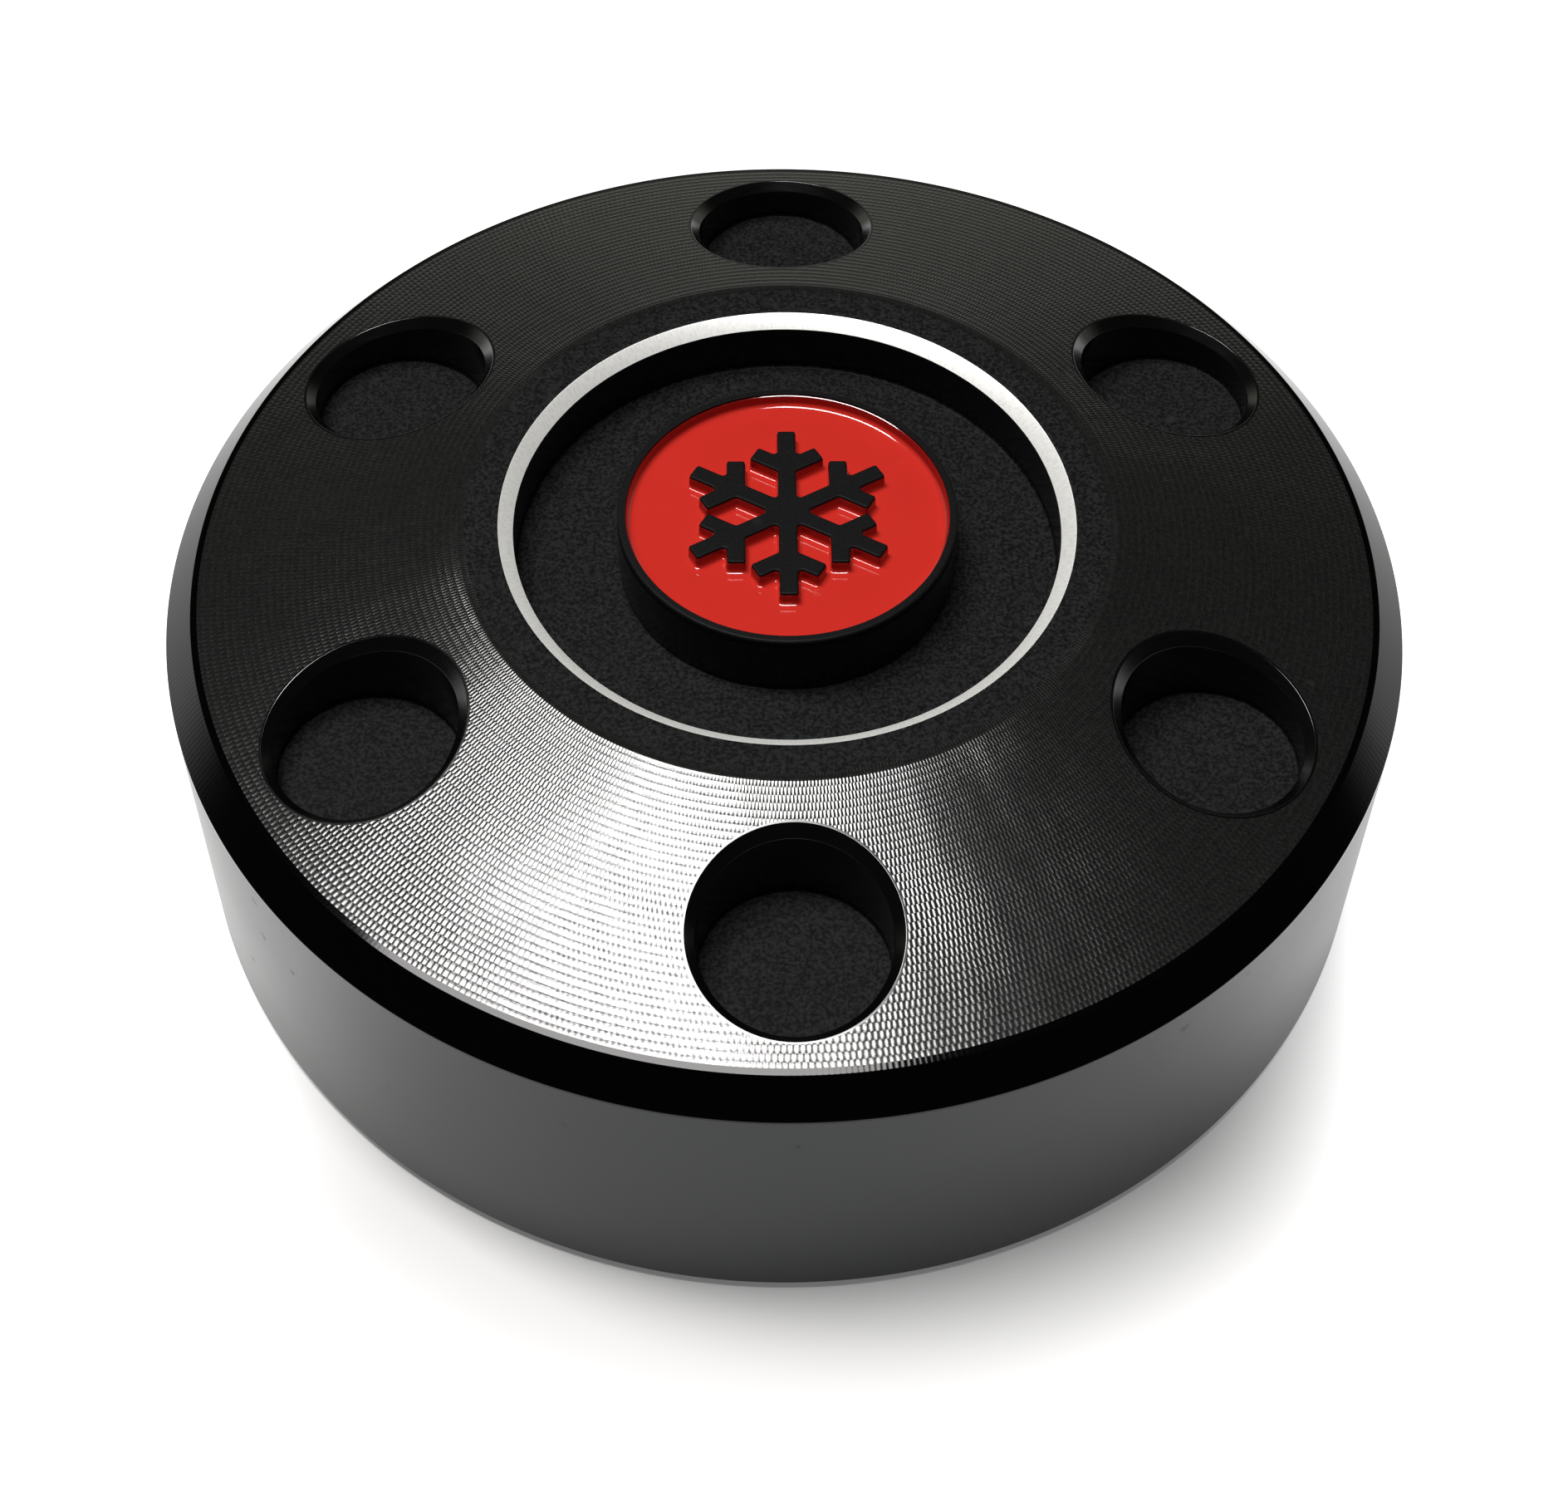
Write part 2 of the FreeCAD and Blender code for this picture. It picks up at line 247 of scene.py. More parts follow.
class Piece:
    """Patches of one piece, each with its own finish, gathered and welded into one closed mesh."""

    def __init__(self, name, slot, node):
        self.name, self.slot, self.node = name, slot, node
        self.points, self.faces, self.finishes, self.used = [], [], [], []
        self.count = 0

    def add(self, points, faces, finish):
        """A patch: points in millimetres, faces that count its own points, and its finish."""
        if finish not in self.used:
            self.used.append(finish)
        points = np.asarray(points, float).reshape(-1, 3)
        self.points.append(points)
        self.faces += (np.asarray(faces) + self.count).tolist()
        self.finishes += [self.used.index(finish)] * len(faces)
        self.count += len(points)

    def rows(self, rows, finish, closed=True):
        """A patch of rows of points, each joined to the next."""
        rows = np.asarray(rows, float)
        self.add(rows, grid_faces(rows.shape[0], rows.shape[1], closed), finish)

    def cap(self, outline, finish):
        """One flat face inside an outline."""
        self.add(outline, [np.arange(len(outline))], finish)

    def turned(self, profile, finish, centre=(0.0, 0.0), steps=TURN_STEPS):
        """A profile of (radius, height) points carried round an upright axis:
        x = centre x + radius cos(turn), y = centre y + radius sin(turn), z = height."""
        turn = place_angle(0, -180 / REPEAT) + 2 * np.pi * np.arange(steps) / steps
        r, z = np.asarray(profile, float).T[:, :, None]
        x, y = centre[0] + r * np.cos(turn), centre[1] + r * np.sin(turn)
        self.rows(np.stack([x, y, z + 0 * x], -1), finish)

    def hole(self, r_in, r_out, pitch_r, angle, profile, finish):
        """A round hole in a sector. Each row of the profile is a radius from the hole's axis and its height,
        which may be worked out from the distance to the turning axis."""
        axis = np.array([pitch_r, 0.0])
        away = unit(sector_edge(r_in, r_out) - axis)
        rows = []
        for radius, height in profile:
            plan = axis + radius * away
            z = height(np.linalg.norm(plan, axis=-1)) if callable(height) else np.full(len(plan), height)
            rows.append(np.column_stack([plan, z]))
        self.rows(turned_round(np.stack(rows), angle), finish)

    def pierced_ring(self, r_in, r_out, pitch_r, hole_r, height, finish, offset_deg=0.0, holes=range(REPEAT)):
        """A ring of sectors with a round hole through each of the places in holes, on z = height(radius).

        Round a hole, each row in plan is rim + s (edge - rim), with the rows closer together next to the rim
        and the edge. A sector without a hole is a plain grid of radius and turn.
        """
        edge = sector_edge(r_in, r_out)
        axis = np.array([pitch_r, 0.0])
        rim = axis + hole_r * unit(edge - axis)
        around_hole = rim + np.array(HOLE_ROWS, float)[:, None, None] * (edge - rim)
        r = np.linspace(r_out, r_in, RADIAL_STEPS + 1)[:, None]
        turn = np.linspace(-math.pi / REPEAT, math.pi / REPEAT, SECTOR_STEPS + 1)
        plain = np.stack([r * np.cos(turn), r * np.sin(turn)], -1)
        for k in range(REPEAT):
            plan = around_hole if k in holes else plain
            z = height(np.linalg.norm(plan, axis=-1))[..., None]
            points = turned_round(np.concatenate([plan, z], -1), place_angle(k, offset_deg))
            self.rows(points, finish, closed=k in holes)

    def finish(self):
        """The finished piece: welded, faces outwards, smooth but for its sharp edges, riding on the body."""
        mesh = bpy.data.meshes.new(self.name)
        mesh.from_pydata(np.concatenate(self.points) * MM, [], self.faces)
        for finish in self.used:
            mesh.materials.append(finish)
        mesh.polygons.foreach_set("material_index", np.array(self.finishes, np.int32))
        work = bmesh.new()
        work.from_mesh(mesh)
        bmesh.ops.remove_doubles(work, verts=work.verts, dist=WELD)
        bmesh.ops.dissolve_degenerate(work, edges=work.edges, dist=WELD / 10)
        bmesh.ops.recalc_face_normals(work, faces=work.faces)
        work.to_mesh(mesh)
        work.free()
        mesh.polygons.foreach_set("use_smooth", np.ones(len(mesh.polygons), bool))
        mesh.set_sharp_from_angle(angle=math.radians(SHARP_DEG))
        piece = bpy.data.objects.new(self.name, mesh)
        bpy.context.scene.collection.objects.link(piece)
        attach(piece, BODY)
        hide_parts(self.node)


# ---------------------------------------------------------------- finishes


class Field:
    """A number that changes over a surface. Arithmetic on it adds Math nodes."""

    def __init__(self, nodes, socket):
        self.nodes, self.socket = nodes, socket

    def math(self, operation, *values):
        return self.nodes.add("ShaderNodeMath", {"operation": operation}, dict(enumerate(values)))

    def __add__(self, other):
        return self.math("ADD", self, other)

    def __sub__(self, other):
        return self.math("SUBTRACT", self, other)

    def __rsub__(self, other):
        return self.math("SUBTRACT", other, self)

    def __mul__(self, other):
        return self.math("MULTIPLY", self, other)

    def __truediv__(self, other):
        return self.math("DIVIDE", self, other)

    def __rtruediv__(self, other):
        return self.math("DIVIDE", other, self)

    __radd__, __rmul__ = __add__, __mul__

    def wave(self):
        return self.math("SINE", self)

    def part(self):
        """What is left above the whole number."""
        return self.math("FRACT", self)

    def whole(self):
        return self.math("FLOOR", self)

    def root(self):
        return self.math("SQRT", self)

    def between(self, low, high):
        """0 at low and 1 at high, with soft ends."""
        inputs = {"Value": self, "From Min": low, "From Max": high}
        return self.nodes.add("ShaderNodeMapRange", {"interpolation_type": "SMOOTHSTEP"}, inputs)


class Nodes:
    """A node tree that nodes are added to."""

    def __init__(self, tree):
        self.tree = tree
        self.tree.nodes.clear()

    def add(self, kind, settings, inputs, output=0):
        """One node: its settings first, then its sockets' values or links. Returns one of its outputs."""
        node = self.tree.nodes.new(kind)
        for name, value in settings.items():
            setattr(node, name, value)
        for name, value in inputs.items():
            value = value.socket if isinstance(value, Field) else value
            if isinstance(value, bpy.types.NodeSocket):
                self.tree.links.new(value, node.inputs[name])
            else:
                node.inputs[name].default_value = value
        return Field(self, node.outputs[output])

    def parts(self, vector):
        """The three numbers of a vector or colour."""
        outputs = self.add("ShaderNodeSeparateXYZ", {}, {0: vector}).socket.node.outputs
        return [Field(self, outputs[k]) for k in range(3)]


class Finish(Nodes):
    """A material: its shader, its nodes and the coordinates they read."""

    def __init__(self, name, **fixed):
        self.material = bpy.data.materials.new(name)
        self.material.use_nodes = True
        super().__init__(self.material.node_tree)
        self.shader = self.tree.nodes.new("ShaderNodeBsdfPrincipled")
        output = self.tree.nodes.new("ShaderNodeOutputMaterial")
        self.tree.links.new(self.shader.outputs["BSDF"], output.inputs["Surface"])
        for socket, value in fixed.items():
            self.shader.inputs[socket.replace("_", " ")].default_value = value
        self.place = self.add("ShaderNodeTexCoord", {}, {}, "Object").socket

    def xyz(self):
        """Object coordinates, in millimetres."""
        inputs = {0: self.place, "Scale": 1 / MM}
        return self.parts(self.add("ShaderNodeVectorMath", {"operation": "SCALE"}, inputs))

    def polar(self):
        """Distance from the turning axis and angle round it, in millimetres and radians, and the height."""
        x, y, z = self.xyz()
        return (x * x + y * y).root(), x.math("ARCTAN2", y, x), z

    def vector(self, x, y, z):
        return self.add("ShaderNodeCombineXYZ", {}, {0: x, 1: y, 2: z})

    def noise(self, per_mm, detail=2.0, roughness=0.5):
        """Smooth noise from 0 to 1 with so many waves to the millimetre."""
        inputs = {"Scale": per_mm / MM, "Detail": detail, "Roughness": roughness, "Vector": self.place}
        return self.add("ShaderNodeTexNoise", {}, inputs, "Fac")

    def drawn(self, x, y, z, detail=3.0, roughness=0.6):
        """Smooth noise from 0 to 1, drawn out along a cut by the three numbers that it is read at."""
        inputs = {"Scale": 1.0, "Detail": detail, "Roughness": roughness, "Vector": self.vector(x, y, z)}
        return self.add("ShaderNodeTexNoise", {}, inputs, "Fac")

    def specks(self, per_mm, share):
        """1 at scattered small round marks and 0 between them."""
        inputs = {"Scale": per_mm / MM, "Vector": self.place}
        distance = self.add("ShaderNodeTexVoronoi", {}, inputs, "Distance")
        tone = self.add("ShaderNodeTexVoronoi", {}, inputs, "Color")
        pick = self.parts(tone)[0]
        return (1 - distance.between(0.10, 0.24)) * pick.between(1 - share, 1 - share + 0.02)

    def blend(self, amount, low, high):
        """A colour that goes from low to high."""
        settings = {"data_type": "RGBA", "clamp_factor": True}
        return self.add("ShaderNodeMix", settings, {0: amount, 6: opaque(low), 7: opaque(high)}, 2)

    def bump(self, height_mm):
        """Relief from a height in millimetres."""
        inputs = {"Height": height_mm * MM, "Distance": 1.0, "Strength": 1.0}
        self.feed("Normal", self.add("ShaderNodeBump", {}, inputs))

    def feed(self, socket, value):
        """Links what changes over the surface to the shader."""
        self.tree.links.new(value.socket, self.shader.inputs[socket])


def opaque(colour):
    """A colour of three numbers with full alpha, or a link as it is."""
    return colour if isinstance(colour, Field) else (*colour, 1.0)


# Colours and shine of the dyed oxide, and the spacing in millimetres of turned grooves and chatter.
OXIDE_IOR = 1.62
DYED_BLACK = (0.0056, 0.0060, 0.0058)
FADED_BLACK = (0.0205, 0.0215, 0.0200)
MATTE_DARK = (0.0026, 0.0030, 0.0029)
MATTE_LIGHT = (0.0178, 0.0196, 0.0187)
SIDE_SHEEN = (0.90, 1.0, 0.975)
MATTE_SHINE = 0.05
MATTE_GRAIN_PER_MM = 4.6
FEED = 0.4625
CHATTER = 0.28
PLATE_FEED = 0.35


def dust(finish, share):
    """Grains of dust and hairline scratches, as an amount from 0 to 1."""
    return finish.specks(0.55, share) * finish.noise(6.0).between(0.35, 0.6)


def crown_finish():
    """Cone left as turned: scalloped feed grooves crossed by chatter, so that each groove is a row of beads.

    Height = scallop (2 groove part)^2 along the radius, plus a chatter wave round it whose phase moves on
    from groove to groove, plus fine tearing drawn out along the cut.
    """
    f = Finish("crown turned black anodised", IOR=1.72)
    r, angle, z = f.polar()
    groove = r / FEED
    number = groove.whole()
    across = (groove.part() - 0.5) * 2
    drift = f.noise(0.35, 2.0)
    scallop = across * across * 0.0086
    per_turn = round(POCKET_PITCH_R * 2 * math.pi / CHATTER)
    beads = (angle * per_turn + number * 2.4 + drift * 9).wave()
    beads = beads * (f.noise(0.12, 1.0).between(0.3, 0.7) * 0.0026 + 0.0030)
    tearing = f.drawn(r * 8.0, angle * 80.0, 0.0) * 0.0055
    sweep = f.drawn(angle * 5.0, r * 0.03, 0.0, 2.0, 0.5) * 0.06
    f.bump(scallop + beads + tearing + sweep)
    wear = f.noise(0.8, 4.0, 0.65)
    f.feed("Roughness", 0.165 + wear * 0.07)
    speckle = f.noise(MATTE_GRAIN_PER_MM, 2.0, 0.6).between(0.32, 0.72)
    faded = dust(f, 0.05) + across * across * 0.05 + speckle * 0.45
    f.feed("Base Color", f.blend(faded, DYED_BLACK, FADED_BLACK))
    return f.material


def faced_finish(name):
    """Flat face left matte by fine facing cuts: black with a close speckle and faint circular marks."""
    f = Finish(name, IOR=OXIDE_IOR, Specular_IOR_Level=MATTE_SHINE)
    r, angle, z = f.polar()
    cuts = f.drawn(r * 12.0, angle * 3.0, z, 2.0, 0.5)
    speckle = f.noise(MATTE_GRAIN_PER_MM, 2.0, 0.6)
    f.bump(cuts * 0.0016 + speckle * 0.0022)
    f.feed("Roughness", 0.46 + speckle * 0.14)
    f.feed("Base Color", f.blend(speckle.between(0.32, 0.72) + dust(f, 0.06), MATTE_DARK, MATTE_LIGHT))
    return f.material


def pocket_floor_finish():
    """Pocket floor left by an end mill, blasted before anodising: an even fine matte grain."""
    f = Finish("pocket floor black anodised", IOR=OXIDE_IOR, Specular_IOR_Level=MATTE_SHINE)
    grain = f.noise(MATTE_GRAIN_PER_MM, 2.0, 0.65)
    f.bump(grain * 0.0050)
    f.feed("Roughness", 0.52 + grain * 0.16)
    f.feed("Base Color", f.blend(grain.between(0.32, 0.72) + dust(f, 0.08), MATTE_DARK, MATTE_LIGHT))
    return f.material


def bored_finish():
    """Walls cut by the flank of a tool: glossy black with faint level lines."""
    f = Finish("bored wall black anodised", IOR=OXIDE_IOR)
    x, y, z = f.xyz()
    lines = f.drawn(x * 0.4, y * 0.4, z * 14.0, 2.0, 0.5)
    f.bump(lines * 0.0007)
    f.feed("Roughness", 0.13 + lines * 0.09)
    f.feed("Base Color", f.blend(lines, (0.0012, 0.0012, 0.0013), (0.0030, 0.0030, 0.0032)))
    return f.material


def chamfer_finish():
    """Chamfers cut last with a fresh edge: glossy black with light chatter across the cut."""
    f = Finish("chamfer black anodised", IOR=1.27)
    r, angle, z = f.polar()
    patch = f.noise(0.09, 1.0).between(0.45, 0.62)
    chatter = (angle * 700 + f.noise(0.5) * 5).wave() * (patch * 0.0010 + 0.00015)
    fine = f.drawn(r * 10.0, angle * 12.0, z * 10.0)
    f.bump(chatter + fine * 0.0010)
    f.feed("Roughness", 0.07 + fine * 0.05)
    f.feed("Base Color", f.blend(fine, (0.0005, 0.0005, 0.0006), (0.0014, 0.0014, 0.0014)))
    return f.material


def side_finish():
    """Side wall, blasted satin: dark grey with a fine even grain, a few rubs and specks of dust."""
    f = Finish("side satin black anodised", IOR=1.35, Specular_Tint=opaque(SIDE_SHEEN))
    r, angle, z = f.polar()
    grain = f.noise(8.0, 3.0, 0.7)
    lines = f.drawn(angle * 9.0, z * 5.0, 0.0)
    cloud = f.noise(0.10, 3.0, 0.55)
    marks = dust(f, 0.045)
    f.bump(grain * 0.0022 + lines * 0.0011 + marks * 0.004)
    f.feed("Roughness", 0.22 + grain * 0.10 + cloud * 0.06 + marks * 0.2)
    f.feed("Base Color", f.blend(grain * 0.5 + marks, (0.0030, 0.0034, 0.0036), (0.0090, 0.0100, 0.0104)))
    return f.material


def bright_cut_finish():
    """Bare aluminium ring cut after anodising: silver with circular cutter lines and a ragged burr."""
    f = Finish("bright cut aluminium", Metallic=0.45, IOR=1.5)
    r, angle, z = f.polar()
    lines = f.drawn(r * 22.0, angle * 5.0, z * 22.0)
    burr = f.drawn(angle * 110.0, r * 3.0, 0.0, 3.0, 0.7)
    f.bump(lines * 0.0030 + burr * 0.0060)
    f.feed("Roughness", 0.36 + lines * 0.20)
    clean = burr.between(0.30, 0.60) * 0.8 + 0.2
    f.feed("Base Color", f.blend(clean, (0.80, 0.81, 0.79), (1.0, 1.0, 0.97)))
    return f.material


def milled_inside_finish(name):
    """Inside faces as machined and dyed: semi-gloss with tool lines."""
    f = Finish(name, IOR=OXIDE_IOR)
    r, angle, z = f.polar()
    lines = f.drawn(r * 4.0, angle * 3.0, z * 4.0, 3.0, 0.55)
    f.bump(lines * 0.004)
    f.feed("Roughness", 0.32 + lines * 0.16)
    f.feed("Base Color", f.blend(lines + dust(f, 0.08), (0.009, 0.009, 0.0095), (0.021, 0.021, 0.022)))
    return f.material


def base_plate_finish():
    """Base plate, faced in a lathe: circular cuts crossed by a soft satin grain and rub marks."""
    f = Finish("base plate black anodised", IOR=OXIDE_IOR)
    r, angle, z = f.polar()
    cuts = (r * (2 * math.pi / PLATE_FEED)).wave() * 0.0011
    grain = f.noise(5.0, 3.0, 0.7)
    rubs = f.drawn(r * 1.6, angle * 1.2, 0.0).between(0.5, 0.75)
    f.bump(cuts + grain * 0.0026)
    f.feed("Roughness", 0.34 + grain * 0.12 + rubs * 0.10)
    f.feed("Base Color", f.blend(rubs * 0.6 + dust(f, 0.10), (0.0115, 0.0115, 0.012), (0.026, 0.026, 0.027)))
    return f.material


def emblem_black_finish():
    """Boss and snowflake faces: matte black and close grained."""
    f = Finish("emblem matte black anodised", IOR=OXIDE_IOR, Specular_IOR_Level=0.07)
    grain = f.noise(9.0, 3.0, 0.7)
    f.bump(grain * 0.0030)
    f.feed("Roughness", 0.42 + grain * 0.14)
    faded = grain.between(0.4, 0.8) + dust(f, 0.05)
    f.feed("Base Color", f.blend(faded, (0.0036, 0.0036, 0.0038), (0.0110, 0.0108, 0.0110)))
    return f.material


def enamel_finish():
    """Baked enamel: clear gloss over red, darker where it runs thin up a wall, with a soft orange peel."""
    f = Finish("red enamel", IOR=1.5, Coat_Weight=0.6, Coat_Roughness=0.03, Coat_IOR=1.5)
    x, y, z = f.xyz()
    peel = f.noise(0.55, 2.0, 0.45)
    fine = f.noise(2.6, 2.0, 0.5)
    f.bump(peel * 0.010 + fine * 0.0008)
    thin = z.between(ENAMEL_Z + THIN_FROM, ENAMEL_Z + THIN_TO)
    body = f.blend(f.noise(0.25, 3.0, 0.6), (0.555, 0.0250, 0.0170), (0.600, 0.0300, 0.0210))
    f.feed("Base Color", f.blend(thin, body, (0.26, 0.006, 0.005)))
    f.feed("Roughness", 0.07 + fine * 0.06 + dust(f, 0.10) * 0.3)
    return f.material


def steel_finish(name, colour, rough):
    """Small turned steel parts: plated, with tool lines and a slightly uneven film."""
    f = Finish(name, Metallic=1.0, IOR=1.5)
    film = f.noise(1.2, 3.0, 0.6)
    lines = f.noise(6.0, 2.0, 0.6)
    f.bump(lines * 0.0035)
    f.feed("Roughness", rough + film * 0.16)
    f.feed("Base Color", f.blend(film, colour, [0.72 * c for c in colour]))
    return f.material


def soft_finish(name, dark, light, rough, grain_mm):
    """Moulded rubber or plastic: fine grain and slight clouding."""
    f = Finish(name, IOR=1.5)
    grain = f.noise(1 / grain_mm, 3.0, 0.65)
    f.bump(grain * grain_mm * 0.06)
    f.feed("Roughness", rough + grain * 0.14)
    f.feed("Base Color", f.blend(f.noise(0.3, 3.0) * 0.6 + grain * 0.4, dark, light))
    return f.material


# ---------------------------------------------------------------- pieces


def puck_shell():
    """Crown and skirt in one closed shell, with pockets swept about their own axes and welded into it."""
    crown, side, chamfer, bored = crown_finish(), side_finish(), chamfer_finish(), bored_finish()
    faced = faced_finish("band black anodised")
    inside = milled_inside_finish("shell inside black anodised")
    shell = Piece("puck_shell_turned", "black_anodised", "puck_shell")

    # Side wall and chamfer, from the bottom edge up to the cone.
    crown_in, crown_out = BAND_R + BAND_LAP, CROWN_R - CROWN_LAP
    crown_foot = (CROWN_R, CROWN_EDGE_Z)
    wall_top_z = CROWN_EDGE_Z - EDGE_CHAMFER_DROP
    wall_top, below = (SHELL_R, wall_top_z), (SHELL_R, wall_top_z - WALL_LAP)
    edge = (SHELL_R, wall_top_z - EDGE_LAP)
    middle = (CROWN_R + EDGE_CHAMFER_WIDTH / 2, CROWN_EDGE_Z - EDGE_CHAMFER_DROP / 2)
    bottom_in = REBATE_R + BOTTOM_LAP
    bottom = [
        (bottom_in, FOOT_Z), (SHELL_R - BOTTOM_EDGE_BREAK, FOOT_Z), (SHELL_R, FOOT_Z + BOTTOM_EDGE_BREAK)]
    shell.turned(rounded([*bottom, below], BOTTOM_EDGE_ROUND), side)
    shell.turned([below, edge], side)
    shell.turned(rounded([edge, wall_top, middle], CHAMFER_ROUND), chamfer)
    shell.turned(rounded([middle, crown_foot, (crown_out, crown_height(crown_out))], CHAMFER_ROUND), chamfer)

    # Cone, band and bright cut.
    mouth_r = POCKET_R + POCKET_CHAMFER + MOUTH_LAP
    shell.pierced_ring(crown_in, crown_out, POCKET_PITCH_R, mouth_r, crown_height, crown)
    band_out = (BAND_R - BAND_LAP, BAND_Z)
    band_edge = [(crown_in, crown_height(crown_in)), (BAND_R, BAND_Z), band_out]
    shell.turned(rounded(band_edge, BAND_EDGE_ROUND), crown)
    band_in, cut_top = (BRIGHT_CUT_R + HOLE_LAP, BAND_Z), (BRIGHT_CUT_R + TINY, BAND_Z)
    cut_foot = (RECESS_R, BAND_Z - BRIGHT_CUT_DROP)
    shell.turned([band_out, band_in, cut_top], faced)
    shell.turned([cut_top, (BRIGHT_CUT_R - TINY, BAND_Z - TINY), cut_foot], bright_cut_finish())

    # Recess, with the holes of the emblem's spigot and dowel in its floor.
    recess = faced_finish("recess floor black anodised")
    wall_foot, floor_out = (RECESS_R, RECESS_FLOOR_Z + FOOT_LAP), (RECESS_R - FOOT_LAP, RECESS_FLOOR_Z)
    under_in, under_out = SPIGOT_R + HOLE_LAP, BOSS_R - FOOT_LAP
    shell.turned([cut_foot, (RECESS_R, cut_foot[1] - CUT_LAP), wall_foot], bored)
    shell.turned(rounded([wall_foot, (RECESS_R, RECESS_FLOOR_Z), floor_out], FOOT_ROUND), recess)
    shell.turned([floor_out, (BOSS_R, RECESS_FLOOR_Z), (under_out, RECESS_FLOOR_Z)], recess)
    shell.pierced_ring(
        under_in, under_out, DOWEL_PITCH_R, DOWEL_R, level(RECESS_FLOOR_Z), recess, holes=[DOWEL_PLACE])
    shell.hole(
        under_in, under_out, DOWEL_PITCH_R, place_angle(DOWEL_PLACE),
        [(DOWEL_R, RECESS_FLOOR_Z), (DOWEL_R, DOWEL_BOTTOM_Z), (0, DOWEL_BOTTOM_Z)], inside)
    shell.turned([(under_in, RECESS_FLOOR_Z), (SPIGOT_R, RECESS_FLOOR_Z), (SPIGOT_R, WEB_Z)], inside)

    # Inside: web, cavity, ledge with the tapped holes, and rebate.
    ledge_in, ledge_out = CAVITY_R + HOLE_LAP, REBATE_R - HOLE_LAP
    shell.turned([(SPIGOT_R, WEB_Z), (CAVITY_R, WEB_Z), (CAVITY_R, LEDGE_Z), (ledge_in, LEDGE_Z)], inside)
    shell.pierced_ring(ledge_in, ledge_out, SCREW_PITCH_R, SCREW_R, level(LEDGE_Z), inside, SCREW_OFFSET_DEG)
    shell.turned([(ledge_out, LEDGE_Z), (REBATE_R, LEDGE_Z), (REBATE_R, FOOT_Z), (bottom_in, FOOT_Z)], inside)

    # Pockets, whose mouths follow the cone, and tapped holes.
    chamfer_out = POCKET_R + POCKET_CHAMFER - TINY
    mouth = rounded([
        (mouth_r, 0), (chamfer_out, 0), (POCKET_R, POCKET_CHAMFER), (POCKET_R, 2 * POCKET_CHAMFER)],
        POCKET_EDGE_ROUND)
    mouth = [(radius, lambda r, depth=depth: crown_height(r) - depth) for radius, depth in mouth]
    floor_edge = (POCKET_R - FOOT_LAP, POCKET_FLOOR_Z)
    foot = rounded([
        (POCKET_R, POCKET_FLOOR_Z + FOOT_LAP), (POCKET_R, POCKET_FLOOR_Z), floor_edge], POCKET_FOOT_ROUND)
    floor_rows = [floor_edge, (POCKET_R / 2, POCKET_FLOOR_Z), (0, POCKET_FLOOR_Z)]
    tapped_top_z = LEDGE_Z + TAPPED_DEPTH
    tapped = [(SCREW_R, LEDGE_Z), (SCREW_R, tapped_top_z), (0, tapped_top_z)]
    pocket_floor = pocket_floor_finish()
    patches = [
        (mouth, bored), ([mouth[-1], foot[0]], bored), (foot, pocket_floor), (floor_rows, pocket_floor)]
    for k in range(REPEAT):
        for rows, finish in patches:
            shell.hole(crown_in, crown_out, POCKET_PITCH_R, place_angle(k), rows, finish)
        shell.hole(ledge_in, ledge_out, SCREW_PITCH_R, place_angle(k, SCREW_OFFSET_DEG), tapped, inside)
    shell.finish()


def snowflake_gap(grow):
    """Outline from one arm's tip to the next, round the gap between them. grow moves every side outwards."""
    w = MARK_HALF_WIDTH + grow
    tip = MARK_ARM_LENGTH + grow
    along = np.array([math.cos(math.pi / 3), math.sin(math.pi / 3)])
    across = np.array([-along[1], along[0]])
    branch_end = np.array([MARK_BRANCH_AT, 0.0]) + (MARK_BRANCH_LENGTH + grow) * along
    first = np.array([
        (tip, 0.0), (tip, w), (MARK_BRANCH_AT + w * math.sqrt(3), w), branch_end - w * across,
        branch_end + w * across, (MARK_BRANCH_AT - w / math.sqrt(3), w)])
    valley = [(w * math.sqrt(3), w)]
    mirror = turned_round(first[::-1] * [1.0, -1.0], math.pi / 3)
    outer, inner = max(MARK_OUTER_CORNER + grow, TINY), max(MARK_INNER_CORNER - grow, TINY)
    radii = [outer, inner, outer, outer, inner]
    return rounded(np.concatenate([first, valley, mirror]), radii + [inner] + radii[::-1], MARK_ARC_STEPS)


def snowflake_rows(profile):
    """Rows round the whole snowflake: each is how far its sides move outwards and its height."""
    rows = []
    for grow, z in profile:
        gap = snowflake_gap(grow)[:-1]
        rows.append(at_height(np.concatenate([turned_round(gap, place_angle(k)) for k in range(REPEAT)]), z))
    return np.stack(rows)


def pool_sheets(piece, z, radius, grow, finish):
    """Level faces between the snowflake and a circle, one to each gap between its arms."""
    turn = np.linspace(math.pi / 3, 0, SECTOR_STEPS + 1)
    arc = radius * np.stack([np.cos(turn), np.sin(turn)], -1)
    outline = at_height(np.concatenate([snowflake_gap(grow), arc]), z)
    for k in range(REPEAT):
        piece.cap(turned_round(outline, place_angle(k)), finish)


